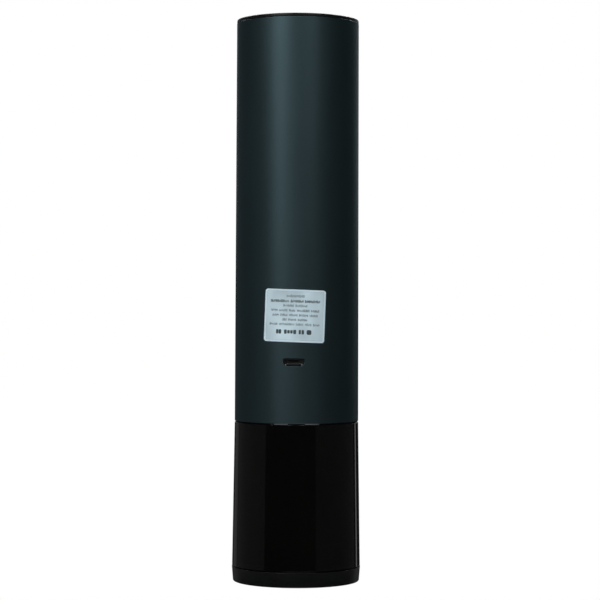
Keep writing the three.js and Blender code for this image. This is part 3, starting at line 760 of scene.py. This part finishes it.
def port_tongue():
    """The plastic tongue with a bevelled nose."""
    middle = (PORT_X, centre_of("usb_tongue").z)
    half = ((TONGUE_HIGH.x - TONGUE_LOW.x) / 2, (TONGUE_HIGH.z - TONGUE_LOW.z) / 2)
    tip, nose, corner = TONGUE_LOW.y, 0.18 * MM, 0.1 * MM
    stations = ((tip, nose), (tip + nose, nose * 0.3), (tip + 3 * nose, 0), (TONGUE_HIGH.y, 0))
    build = bmesh.new()
    stack(build, [(y, middle, slot_outline(*half, corner, inset, 3)) for y, inset in stations])
    piece("port_tongue", build, "satin_black", ["usb_tongue"])


def port_contacts():
    """Five gilt contacts under the tongue."""
    pitch, half_width, thick, corner = 0.65 * MM, 0.16 * MM, 0.06 * MM, 0.02 * MM
    tip, end = TONGUE_LOW.y, TONGUE_HIGH.y
    stations = ((tip + 0.3 * MM, 0.3), (tip + 0.5 * MM, 1.0), (end - 0.1 * MM, 1.0))
    build = bmesh.new()
    for index in range(-2, 3):
        sections = []
        for y, share in stations:
            half = thick * share / 2
            outline = slot_outline(half_width, half, corner * share, 0, 2)
            sections.append((y, (PORT_X + index * pitch, TONGUE_LOW.z - half), outline))
        stack(build, sections)
    piece("port_contacts", build, "bronze")


def port_latches():
    """The two sprung humps in the floor of the port that hold a plug."""
    radius, height, spread, depth = 0.42 * MM, 0.3 * MM, 2.35 * MM, 0.75 * MM
    floor = PORT_LOW.z + PORT_WALL + PORT_SILL
    profile = [(0, -height * 0.2)] + [(radius * cos, height * sin) for cos, sin in quarter(6)]
    build = bmesh.new()
    for side in (-1, 1):
        place = Matrix.Translation((PORT_X + side * spread, PORT_LOW.y + depth, floor))
        revolve(build, profile, 24, place=place)
    piece("port_latches", build, "dark_steel")


def port_ears():
    """The two bright flared tabs of the receptacle that show at the lower corners of its opening."""
    half_width, half_height, corner, sideways, down = 0.15 * MM, 0.32 * MM, 0.14 * MM, 0.05 * MM, 0.7
    root, lip, tip = PORT_LOW.y, PORT_LOW.y - 0.75 * MM, 0.06 * MM
    slope = Vector((PORT_SLANT, PORT_TALL)).normalized()
    corner_x, corner_z = PORT_WIDE - PORT_SLANT - sideways, -down * PORT_TALL
    # Depth, size and how far the tab still leans inwards, from its root to its rounded end.
    stations = [(root, 0.8, 0.25 * MM), ((root + lip) / 2, 0.95, 0.1 * MM), (lip, 1.0, 0.0),
                (lip - tip, 0.7, 0.0)]
    build = bmesh.new()
    for side in (-1, 1):
        sections = []
        for y, size, lean in stations:
            outline = []
            for u, v in slot_outline(half_width * size, half_height * size, corner * size, 0, 4):
                outline.append((side * (u * slope.y + v * slope.x), v * slope.y - u * slope.x))
            middle = (PORT_X + side * (corner_x - lean), PORT_Z + corner_z + 0.4 * lean)
            sections.append((y, middle, outline))
        stack(build, sections)
    piece("port_ears", build, "nickel")


# ---------- rocker switch and light


def rocker_lift(x, z):
    """How far the rocker's face, with its two finger dishes, stands proud of the tube."""
    dish, half_width, half_height, centre = 0.28 * MM, 4.2 * MM, 5.2 * MM, 7.2 * MM
    across, along = x / half_width, (abs(z) - centre) / half_height
    depth = dish * max(0.0, 1 - across * across - along * along) ** 2
    return ROCKER_FACE - tube_radius(ROCKER_Z) - depth


def rocker_cap():
    """The pill-shaped button with a rounded edge, over its two feet and two lugs."""
    edge, root = 0.5 * MM, 21.6 * MM

    def outline(inset):
        return slot_outline(ROCKER_WIDE, ROCKER_TALL, ROCKER_WIDE, inset, 12, 16)

    def on_face(inset, drop):
        return [on_skin(p.x, ROCKER_Z + p.y, rocker_lift(p.x, p.y) - drop, FRONT) for p in outline(inset)]

    outlines = [[Vector((p.x, root, ROCKER_Z + p.y)) for p in outline(0.0)]]
    outlines += [on_face(edge * (1 - cos), edge * (1 - sin)) for cos, sin in quarter(5)]
    outlines += [on_face(edge + (ROCKER_WIDE - edge) * share, 0.0) for share in shares(12)[1:]]
    build = bmesh.new()
    loft(build, outlines)
    tip, foot_radius, foot_spread = 19.9 * MM, 1.2 * MM, 8.5 * MM
    foot = bar(0, foot_radius, tip, root, (0, 0.3 * MM, 0, 0))
    for z in (ROCKER_Z - foot_spread, ROCKER_Z + foot_spread):
        revolve(build, foot, COARSE, place=facing_front(z))
    rocker_lugs(build, root)
    piece("rocker_cap", build, "satin_black", ["rocker_button"], "rocker", 40)


def facing_front(z):
    """Turns a profile about the line along +Y at a height instead of about Z."""
    return Matrix.Translation((0, 0, z)) @ Matrix.Rotation(-TAU / 4, 4, "X")


def rocker_lugs(build, root):
    """Two ears with a round bore, one at each end of the pivot."""
    pin_low, pin_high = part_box("rocker_pin")
    pivot_y = centre_of("rocker_pin").y
    bore = (pin_high.z - pin_low.z) / 2 + GAP
    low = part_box("rocker_button")[0].y
    near, far, half, steps = 1.2 * MM, 3 * MM, 1.9 * MM, 24

    def outline(x, outward):
        points = []
        for index in range(steps):
            angle = TAU * (index + 0.5) / steps
            y, z = math.cos(angle), math.sin(angle)
            scale = half / max(abs(y), abs(z)) if outward else bore
            points.append((x, min(max(pivot_y + y * scale, low), root), ROCKER_Z + z * scale))
        return points

    for left, right in ((-far, -near), (near, far)):
        rings = [outline(left, False), outline(right, False), outline(right, True), outline(left, True)]
        loft(build, rings, closed=True)


def rocker_marks():
    """Plain up and down chevrons on the two ends of the rocker."""
    build = bmesh.new()
    arm, rise, half_line, half_top, height = 1.5 * MM, 0.9 * MM, 0.16 * MM, 0.128 * MM, 0.05 * MM
    centre, slant = 8.4 * MM, 1.35
    section = ((-half_line, -height), (half_line, -height), (half_top, height), (-half_top, height))
    for way in (-1, 1):
        for side in (-1, 1):
            outlines = []
            for t in shares(6):
                x, middle = side * arm * t, way * (centre + rise * (0.5 - t))
                outline = []
                for across, lift in section:
                    z = middle + across * slant
                    outline.append(on_skin(x, ROCKER_Z + z, rocker_lift(x, z) + lift, FRONT))
                outlines.append(outline)
            loft(build, outlines)
    piece("rocker_marks", build, "grey_plastic", body="rocker")


def light_lens():
    """The light pipe with its domed end."""
    low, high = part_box("status_light")
    radius, dome = reach("status_light"), 0.35 * MM
    profile = [(0, low.y), (radius, low.y)]
    profile += [(radius * cos, high.y - dome * (1 - sin)) for cos, sin in quarter(8)]
    place = facing_front(LIGHT_Z)
    turned("light_lens", profile, 48, "light_pipe", ["status_light"], place=place)


# ---------- sleeve, collar and cork guide


SLEEVE_LOW, SLEEVE_HIGH = span("smoked_sleeve")
SLEEVE_TOP_RADIUS = TUBE_RADIUS
SLEEVE_FOOT_RADIUS = reach("smoked_sleeve")
TAB_X, TAB_WIDTH = 5.8 * MM, 5.3 * MM
TAB_LOW, TAB_HIGH = SLEEVE_HIGH - 0.1 * MM, SLEEVE_HIGH + 0.28 * MM


def sleeve_radius(z):
    """Radius of the sleeve's outer face at a height."""
    rise = (z - SLEEVE_LOW) / (SLEEVE_HIGH - SLEEVE_LOW)
    return SLEEVE_FOOT_RADIUS + (SLEEVE_TOP_RADIUS - SLEEVE_FOOT_RADIUS) * rise


def notch(side):
    """The cutter that leaves room for one snap tab in the sleeve's top edge."""
    half_width, bottom, top = TAB_WIDTH / 2 + GAP, TAB_LOW - GAP, SLEEVE_HIGH + MM
    outline = bar(-half_width, half_width, bottom, top, (0.3 * MM, 0.3 * MM, 0, 0), 5)
    build = bmesh.new()
    stack(build, [(y, (side * TAB_X, 0), outline) for y in (-26 * MM, -18 * MM)])
    return solid("tool", build)


def sleeve_shell():
    """The polished sleeve with a notch for each snap tab."""
    bore = 22.1 * MM
    profile = rounded([
        (bore, SLEEVE_LOW, 0.2 * MM),
        (sleeve_radius(SLEEVE_LOW), SLEEVE_LOW, 0.25 * MM),
        (sleeve_radius(SLEEVE_HIGH), SLEEVE_HIGH, 0.35 * MM),
        (bore, SLEEVE_HIGH, 0.2 * MM),
    ], 5)
    shell = turned("sleeve_shell", profile, FINE, "smoked_clear", ["smoked_sleeve"])
    carve(shell, [notch(-1), notch(1)])
    round_normals(shell, sleeve_radius)


def collar():
    """The joining ring inside the casing, with the ends of its two snap tabs."""
    low, high = span("collar_ring")
    outer, inner, tab_root = reach("collar_ring"), 19.8 * MM, 20.6 * MM
    build = bmesh.new()
    revolve(build, bar(inner, outer, low, high, (0.3 * MM, 0.4 * MM, 0.4 * MM, 0.3 * MM)), MEDIUM)
    tab_outer = SLEEVE_TOP_RADIUS - 0.05 * MM
    tab = bar(tab_root, tab_outer, TAB_LOW, TAB_HIGH, (0, 0.12 * MM, 0.12 * MM, 0))
    half_angle = math.asin(TAB_WIDTH / 2 / tab_outer)
    for side in (-1, 1):
        middle = -TAU / 4 + math.asin(side * TAB_X / tab_outer)
        revolve(build, tab, 12, middle - half_angle, 2 * half_angle)
    piece("collar", build, "grey_plastic", ["collar_ring"])


NECK = 15.5 * MM                      # radius of the room for the bottle's neck


def cork_cup():
    """The bottle-neck cup and cork chamber with its ribs."""
    low, high = span("cork_guide")
    cork, wall, flange, stop = 12.5 * MM, 2 * MM, reach("cork_guide"), 22 * MM
    shoulder, rim, lead_in, lead_up = high - 2 * MM, 0.4 * MM, 1 * MM, 1.5 * MM
    profile = rounded([
        (NECK + lead_in, low, rim),
        (NECK + wall, low, rim),
        (NECK + wall, stop + wall, 1 * MM),
        (cork + wall, stop + 2 * wall, 1 * MM),
        (cork + wall, shoulder, 0.6 * MM),
        (flange, shoulder, rim),
        (flange, high, rim),
        (cork, high, rim),
        (cork, stop, 0.8 * MM),
        (NECK, stop, 0.6 * MM),
        (NECK, low + lead_up, 0.8 * MM),
    ], 5)
    build = bmesh.new()
    revolve(build, profile, MEDIUM)
    rib_low, rib_slope, rib_half, rib_edge = stop + 3 * MM, 1.6 * MM, 0.6 * MM, 0.5 * MM
    inner, outer, flush = cork - 0.9 * MM, cork + 1 * MM, cork + 0.1 * MM
    section = bar(inner, outer, -rib_half, rib_half, (rib_edge, 0, 0, rib_edge))
    nose = [(max(x, flush), y) for x, y in section]
    for index in range(4):
        turn = Matrix.Rotation(TAU * (index + 0.5) / 4, 4, "Z")
        rows = ((nose, rib_low), (section, rib_low + rib_slope), (section, shoulder))
        loft(build, [[turn @ Vector((x, y, z)) for x, y in outline] for outline, z in rows])
    piece("cork_cup", build, "black_plastic", ["cork_guide"])


# ---------- foil cutter


CUTTER_LOW, CUTTER_HIGH = span("cutter_base")
CUTTER_WALL = 22.5 * MM


def foil_ring():
    """The foot of the opener and body of its foil cutter."""
    outer = reach("cutter_base")
    foot = outer - 0.45 * MM
    floor = CUTTER_LOW + 1.2 * MM
    profile = rounded([
        (NECK, CUTTER_LOW, 0.6 * MM),
        (foot, CUTTER_LOW, 0.45 * MM),
        (outer, CUTTER_HIGH, 0.07 * MM),
        (CUTTER_WALL, CUTTER_HIGH, 0.2 * MM),
        (CUTTER_WALL, floor, 0.3 * MM),
        (NECK, floor, 0.3 * MM),
    ], 6)
    turned("foil_ring", profile, FINE, "satin_black", ["cutter_base"], "foil_cutter")


def foil_cover():
    """The cutter's lid with the spigot that plugs into the sleeve, and three snap beads on it."""
    low, high = span("cutter_cover")
    outer = reach("cutter_cover")
    top, spigot, spigot_bore = low + 1.2 * MM, 21.4 * MM, 18.6 * MM
    profile = rounded([
        (NECK, low, 0.3 * MM), (outer, low, 0.25 * MM), (outer, top, 0.25 * MM), (spigot, top, 0.3 * MM),
        (spigot, high - 0.5 * MM, 0.4 * MM), (spigot - 0.5 * MM, high, 0.3 * MM),
        (spigot_bore, high, 0.4 * MM), (spigot_bore, top, 0.5 * MM), (NECK, top, 0.4 * MM),
    ], 5)
    build = bmesh.new()
    revolve(build, profile, 192)
    sunk, proud, edge = spigot - 0.2 * MM, spigot + 0.25 * MM, 0.15 * MM
    bead = rounded([
        (sunk, top + 4 * MM, 0), (proud, top + 4.3 * MM, edge), (proud, top + 4.7 * MM, edge),
        (sunk, top + 5 * MM, 0),
    ], 3)
    for third in range(3):
        revolve(build, bead, 16, TAU * (third / 3 + 0.05), TAU / 12)
    piece("foil_cover", build, "satin_black", ["cutter_cover"], "foil_cutter")


JAW_REACH = math.radians(48)
WHEEL_ORBIT, WHEEL_ANGLE = 16.9 * MM, math.radians(25)


def wheel_place(side, end):
    """Where a cutting wheel's axis stands. The side is along X and the end along Y."""
    x = side * WHEEL_ORBIT * math.cos(WHEEL_ANGLE)
    y = end * WHEEL_ORBIT * math.sin(WHEEL_ANGLE)
    return Matrix.Translation((x, y, 0))


def foil_jaw(side, name):
    """A curved plate with a pin for each of its two wheels."""
    node = f"cutter_jaw_{name}"
    low, high = span(node)
    inner, outer, thick = 15.9 * MM, 20.2 * MM, 1 * MM
    top = low + thick
    plate = bar(inner, outer, low, top, (0.15 * MM, 0.15 * MM, 0.2 * MM, 0.2 * MM), 3)
    build = bmesh.new()
    middle = 0.0 if side > 0 else TAU / 2
    revolve(build, plate, 48, middle - JAW_REACH, 2 * JAW_REACH)
    pin = bar(0, 1 * MM, low + 0.3 * MM, high, (0, 0, 0.25 * MM, 0))
    shoulder = bar(0, 1.7 * MM, low + thick / 2, top + 0.12 * MM, (0, 0, 0.1 * MM, 0), 3)
    for end in (-1, 1):
        revolve(build, pin, COARSE, place=wheel_place(side, end))
        revolve(build, shoulder, COARSE, place=wheel_place(side, end))
    piece(f"foil_jaw_{name}", build, "black_plastic", [node], f"jaw_{name}")


def foil_spring(side, name):
    """The bowed leaf between a jaw and the cutter's wall, which the real jaw presses flat as it slides
    out; it is built bowed, on a mesh of its own.
    """
    node = f"cutter_spring_{name}"
    low, high = span(node)
    half_length, half_thick, half_height = 5 * MM, 0.125 * MM, (high - low) / 2
    crown, ends, wall = 20.4 * MM, 21.6 * MM, 21.93 * MM
    section = slot_outline(half_thick, half_height, 0.08 * MM, 0, 3)
    rings = []
    for share in shares(32):
        along = 2 * share - 1
        face = crown + (ends - crown) * math.sin(along * TAU / 4) ** 2
        x, y, z = face + half_thick, half_length * along, low + half_height
        rings.append([Vector((side * (x + p.x), y, z + p.y)) for p in section])
    build = bmesh.new()
    loft(build, rings)
    made = piece(f"foil_spring_{name}", build, "steel", [node], "foil_cutter")
    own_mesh(made)


def foil_wheel(side, end, name):
    """A ground cutting disc: two hollow-ground bevels that meet in the edge."""
    node = f"cutter_wheel_{name}"
    low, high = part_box(node)
    radius, middle = (high.x - low.x) / 2, centre_of(node).z
    land, bore, chamfer, hollow = radius - 1.15 * MM, 1.3 * MM, 0.06 * MM, 0.7

    def bevel(face):
        """One bevel, from the flat of a face out to the edge."""
        return [(land + (radius - land) * t, face + (middle - face) * t ** hollow) for t in shares(5)[:-1]]

    profile = [(bore + chamfer, low.z), *bevel(low.z), (radius, middle), *reversed(bevel(high.z)),
               (bore + chamfer, high.z), (bore, high.z - chamfer), (bore, low.z + chamfer)]
    build = bmesh.new()
    revolve(build, profile, 96, place=wheel_place(side, end))
    piece(f"foil_wheel_{name}", build, "wheel_steel", [node], f"wheel_{name}", 20)


# ---------- worm


def corkscrew():
    """The open-wire worm: it grows from a sharp offset point to its full wire and radius."""
    low, high = span("worm")
    wire, pitch, corners = 1.4 * MM, 9 * MM, 20
    coil, tip = reach("worm") - wire, low + 0.25 * MM
    turns = (high - wire * 0.9 - tip) / pitch
    point_turns, point_radius, point_wire, phase = 0.75, 0.45, 0.06, TAU * 0.02

    def grown(t):
        return math.sin(min(1.0, turns * t / point_turns) * TAU / 4)

    def path(t):
        radius = coil * (point_radius + (1 - point_radius) * grown(t))
        angle = TAU * turns * t + phase
        return Vector((radius * math.cos(angle), radius * math.sin(angle), tip + pitch * turns * t))

    outlines = []
    samples = round(turns * 48)
    for t in shares(samples):
        point, step = path(t), 0.5 / samples
        tangent = (path(min(t + step, 1.0)) - path(max(t - step, 0.0))).normalized()
        out = Vector((point.x, point.y, 0.0))
        out = (out - tangent * out.dot(tangent)).normalized()
        up = tangent.cross(out)
        thick = wire * (point_wire + (1 - point_wire) * grown(t) ** 0.8)
        angles = [TAU * corner / corners for corner in range(corners)]
        outlines.append([point + thick * (out * math.cos(a) + up * math.sin(a)) for a in angles])
    build = bmesh.new()
    loft(build, outlines)
    piece("corkscrew", build, "worm_steel", ["worm"], "worm_carriage", 50)


# ---------- inner pieces kept from the frame


def finish_nodes():
    """Every node that still shows takes the finish of its slot."""
    for node in nodes.values():
        slot = node.material_slots[0].material.name.split(".")[0]
        node.material_slots[0].material = FINISHES[slot]


# ---------- studio


FOCUS = Vector((0, 0, (cad_box[0].z + cad_box[1].z) / 2))

# Azimuth (from the back towards +X) and elevation in degrees, distance, width and height, brightness.
LIGHTS = {
    "key": (-35, 42, 1.1, (0.6, 0.45), 5.7),
    "key_low": (-35, 15, 1.1, (0.42, 0.35), 0.72),
    "key_level": (-15, 1, 1.1, (1.0, 0.2), 0.34),
    "fill": (26, 46, 1.1, (0.5, 0.4), 3.6),
    "fill_low": (26, 15, 1.1, (0.42, 0.35), 0.36),
    "far_key": (150, 45, 1.1, (0.5, 0.45), 10.0),
    "far_fill": (-150, 45, 1.1, (0.45, 0.4), 7.0),
    "far_level": (176, 9, 1.1, (1.1, 0.25), 0.5),
    "under": (10, -70, 1.1, (0.7, 0.7), 1.1),
    "side_left": (-95, 0, 1.2, (1.8, 0.9), 0.06),
    "side_right": (83, 0, 1.2, (2.6, 0.9), 0.036),
    "strip_left": (-143, 0, 1.0, (0.33, 0.8), 0.1),
    "strip_right": (140.5, 0, 1.0, (0.08, 0.8), 0.5),
}


def softbox(name, azimuth, elevation, distance, size, brightness):
    """A rectangular light aimed at the opener. Its power follows from its brightness and area."""
    data = bpy.data.lights.new(name, "AREA")
    data.shape = "RECTANGLE"
    data.size, data.size_y = size
    data.energy = brightness * size[0] * size[1] * math.pi
    lamp = add_object(name, data)
    around, up = math.radians(azimuth), math.radians(elevation)
    way = Vector((math.sin(around) * math.cos(up), -math.cos(around) * math.cos(up), math.sin(up)))
    lamp.location = FOCUS + way * distance
    lamp.rotation_euler = way.to_track_quat("Z", "Y").to_euler()
    lamp.visible_camera = False


def blend(tree, share, first, second):
    """Mixes two shaders by the share of the second."""
    return add_node(tree, "ShaderNodeMixShader", {0: share, 1: first, 2: second})


def white_world():
    """White behind the opener, and a dim room in its reflections."""
    world = bpy.data.worlds.new("studio")
    world.use_nodes = True
    tree = world.node_tree
    room = add_node(tree, "ShaderNodeBackground", {"Color": (0.9, 0.95, 1.0, 1), "Strength": 0.018})
    paper = add_node(tree, "ShaderNodeBackground", {"Color": (1, 1, 1, 1)})
    seen = add_node(tree, "ShaderNodeLightPath", {}, "Is Camera Ray")
    tree.links.new(blend(tree, seen, room, paper), tree.nodes["World Output"].inputs["Surface"])
    bpy.context.scene.world = world


FLOOR_RADIUS = 30
FLOOR_DROP = 0.05 * MM                # keeps the sheet from coinciding with the foot
FLOOR_CLEAR = 0.99                    # share of the sheet that the camera sees through
GLOW_NEAR, GLOW_FAR = 0.1, 1.2        # distances between which the sheet's own light grows
GLOW_LEAST, GLOW_MOST = 0.72, 1.0


def floor_paper():
    """Pale paper, lit from within, that the camera mostly sees through and bounced light finds solid.

    So the opener's foot and a foil cutter that is pulled down through the sheet stay in sight."""
    shader = Shader("white_paper", (0.8, 0.8, 0.8), 0.9, Specular_IOR_Level=0.0)
    tree, solid_side = shader.tree, shader.surface.outputs["BSDF"]
    distance = add_node(tree, "ShaderNodeVectorMath", {0: shader.place}, "Value", operation="LENGTH")
    strength = shader.ranged(distance, GLOW_LEAST, GLOW_MOST, GLOW_NEAR, GLOW_FAR)
    glow = add_node(tree, "ShaderNodeEmission", {"Strength": strength})
    bright = add_node(tree, "ShaderNodeAddShader", {0: solid_side, 1: glow})
    sheer = blend(tree, FLOOR_CLEAR, bright, add_node(tree, "ShaderNodeBsdfTransparent", {}))
    rays = [add_node(tree, "ShaderNodeLightPath", {}, f"Is {kind} Ray") for kind in ("Camera", "Shadow")]
    whole = blend(tree, shader.number("MAXIMUM", *rays), solid_side, sheer)
    tree.links.new(whole, tree.nodes["Material Output"].inputs["Surface"])
    return shader.material


def pale_floor():
    """A wide round sheet of the pale paper under the opener."""
    build = bmesh.new()
    bmesh.ops.create_circle(build, cap_ends=True, segments=96, radius=FLOOR_RADIUS)
    floor = solid("floor", build)
    floor.data.materials.append(floor_paper())
    floor.location.z = cad_box[0].z - FLOOR_DROP
    floor.visible_glossy = False


CAMERA_PLACE = (1.17 * MM, -794 * MM, 104.5 * MM)
CAMERA_TILT, CAMERA_ROLL = math.radians(90.154), math.radians(0.22)


def aim_camera():
    """Level, at half the opener's height, as far away as a portrait lens stands."""
    data = bpy.data.cameras.new("camera")
    data.lens = 125
    data.sensor_width = 36
    camera = add_object("camera", data)
    camera.location = CAMERA_PLACE
    tilt, roll = Matrix.Rotation(CAMERA_TILT, 4, "X"), Matrix.Rotation(CAMERA_ROLL, 4, "Z")
    camera.rotation_euler = (tilt @ roll).to_euler()
    bpy.context.scene.camera = camera


# ---------- the whole scene


aim_camera()
finish_nodes()
tube_skin()
top_disc()
label_sheet()
label_print()
label_border()
port_liner()
port_shell()
port_tongue()
port_contacts()
port_latches()
port_ears()
rocker_cap()
rocker_marks()
light_lens()
sleeve_shell()
collar()
cork_cup()
foil_ring()
foil_cover()
for jaw_side, jaw_name in ((-1, "left"), (1, "right")):
    foil_jaw(jaw_side, jaw_name)
    foil_spring(jaw_side, jaw_name)
    for wheel_end, wheel_name in ((-1, "back"), (1, "front")):
        foil_wheel(jaw_side, wheel_end, f"{jaw_name}_{wheel_name}")
corkscrew()
for light_name, light in LIGHTS.items():
    softbox(light_name, *light)
white_world()
pale_floor()
bpy.context.scene.view_settings.view_transform = "Standard"
